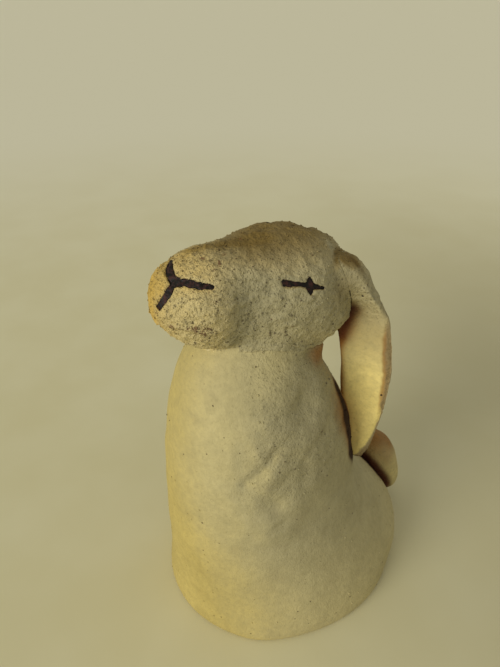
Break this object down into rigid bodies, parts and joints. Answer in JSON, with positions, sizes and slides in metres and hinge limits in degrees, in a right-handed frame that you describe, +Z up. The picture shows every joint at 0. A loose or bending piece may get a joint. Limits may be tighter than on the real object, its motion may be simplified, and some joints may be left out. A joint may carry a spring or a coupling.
{
  "type": "ceramic rabbit figurine",
  "caption": "Hand-built stoneware figurine of a sitting lop-eared rabbit with closed eyes, cut nose and mouth lines filled with dark oxide, and a flat foot to stand on.",
  "frame": {"origin": "centre of the flat foot, on the surface that the figurine stands on", "axes": "+Z up, the nose points to -Y, the rabbit's own left is +X"},
  "size_m": [0.0876, 0.1141, 0.1496],
  "materials": {
    "body_clay": "matte",
    "head_clay": "matte",
    "ear_clay": "matte",
    "dark_inlay": "gloss",
    "worn_inlay": "satin"
  },
  "bodies": {
    "root": {"body_wall": "body_clay", "base_plug": "body_clay", "head": "head_clay", "neck_coil": "body_clay", "ear_left": "ear_clay", "ear_right": "ear_clay", "tail": "ear_clay", "nose_inlay": "dark_inlay", "mouth_inlay": "worn_inlay", "eye_inlay_left": "dark_inlay", "eye_inlay_right": "dark_inlay"}
  },
  "joints": []
}
